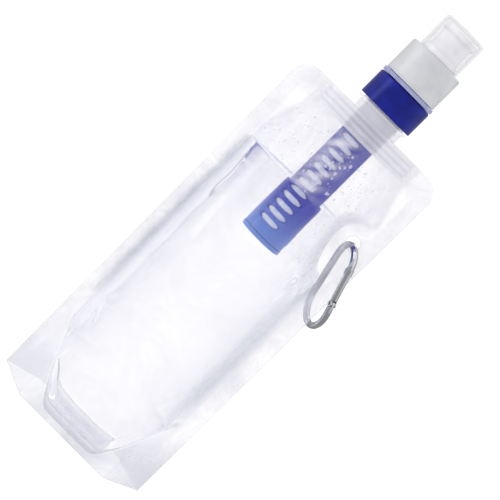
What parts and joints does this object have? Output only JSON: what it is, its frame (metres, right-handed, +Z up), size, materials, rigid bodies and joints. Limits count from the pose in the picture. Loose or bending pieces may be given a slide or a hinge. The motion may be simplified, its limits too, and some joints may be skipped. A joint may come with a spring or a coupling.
{
  "type": "folding water bottle",
  "caption": "Clear film pouch bottle with a stand-up base, screw-on filter, push-pull sports cap under a dust cover, and a carabiner through an eyelet.",
  "frame": {"origin": "on the surface that the bottle stands on, on the axis of the spout; the flat middle of the base lies there", "axes": "+Z up along the spout's axis, +X towards the carabiner, -Y the front"},
  "size_m": [0.1007, 0.0514, 0.2824],
  "materials": {
    "film": "clear soft film, glossy",
    "spout": "natural translucent moulding",
    "blue_plastic": "deep blue, satin",
    "filter_blue": "blue, satin",
    "cap_white": "natural white, satin",
    "nozzle_white": "milky, satin",
    "clear_cover": "clear, glossy",
    "silicone": "translucent silicone",
    "filter_medium": "matte white fibre",
    "steel": "bright",
    "aluminium": "polished"
  },
  "bodies": {
    "upper_pouch": {"front_film_upper": "film", "back_film_upper": "film", "spout": "spout"},
    "lower_pouch": {"front_film_lower": "film", "back_film_lower": "film", "bottom_gusset": "film"},
    "neck_seal": {"neck_gasket": "silicone"},
    "filter_unit": {"filter_collar": "blue_plastic", "cap_seat_ring": "silicone", "filter_tube": "filter_blue", "filter_end_cap": "filter_blue", "lower_filter_pad": "filter_medium", "filter_core": "filter_medium", "upper_filter_pad": "filter_medium"},
    "cap_seal": {"cap_liner": "silicone"},
    "cap": {"sports_cap": "cap_white", "nozzle_o_ring": "silicone"},
    "mouthpiece": {"nozzle": "nozzle_white"},
    "cover": {"dust_cover": "clear_cover"},
    "carabiner": {"carabiner_hook": "aluminium", "gate_rivet": "steel"},
    "gate": {"carabiner_gate": "aluminium", "gate_spring": "steel"}
  },
  "joints": [
    {"name": "fold", "type": "hinge", "parent": "upper_pouch", "child": "lower_pouch", "pos_m": [0, 0.0262, 0.1085], "axis": [1, 0, 0], "range_deg": [0, 180]},
    {"name": "collar_lift", "type": "slide", "parent": "upper_pouch", "child": "neck_seal", "axis": [0, 0, 1], "range_m": [0, 0.0046]},
    {"name": "collar_turn", "type": "hinge", "parent": "neck_seal", "child": "filter_unit", "pos_m": [0, 0, 0.2345], "axis": [0, 0, 1], "range_deg": [0, 540]},
    {"name": "cap_lift", "type": "slide", "parent": "filter_unit", "child": "cap_seal", "axis": [0, 0, 1], "range_m": [0, 0.0046]},
    {"name": "cap_turn", "type": "hinge", "parent": "cap_seal", "child": "cap", "pos_m": [0, 0, 0.2525], "axis": [0, 0, 1], "range_deg": [0, 540]},
    {"name": "nozzle_slide", "type": "slide", "parent": "cap", "child": "mouthpiece", "axis": [0, 0, 1], "range_m": [0, 0.005]},
    {"name": "dust_cover_slide", "type": "slide", "parent": "mouthpiece", "child": "cover", "axis": [0, 0, 1], "range_m": [0, 0.024]},
    {"name": "carabiner_swing", "type": "hinge", "parent": "upper_pouch", "child": "carabiner", "pos_m": [0.0349, 0, 0.1697], "axis": [0, -1, 0], "range_deg": [0, 135]},
    {"name": "gate_open", "type": "hinge", "parent": "carabiner", "child": "gate", "pos_m": [0.04874, -0.00643, 0.14147], "axis": [-0.8236, -0.479, -0.3039], "range_deg": [0, 18], "stiffness_Nm_per_rad": 0.02, "springref_deg": -17.19}
  ],
  "couplings": [
    {"joint": "collar_lift", "follows": "collar_turn", "m_per_rad": 0.00047746},
    {"joint": "cap_lift", "follows": "cap_turn", "m_per_rad": 0.00047746}
  ]
}
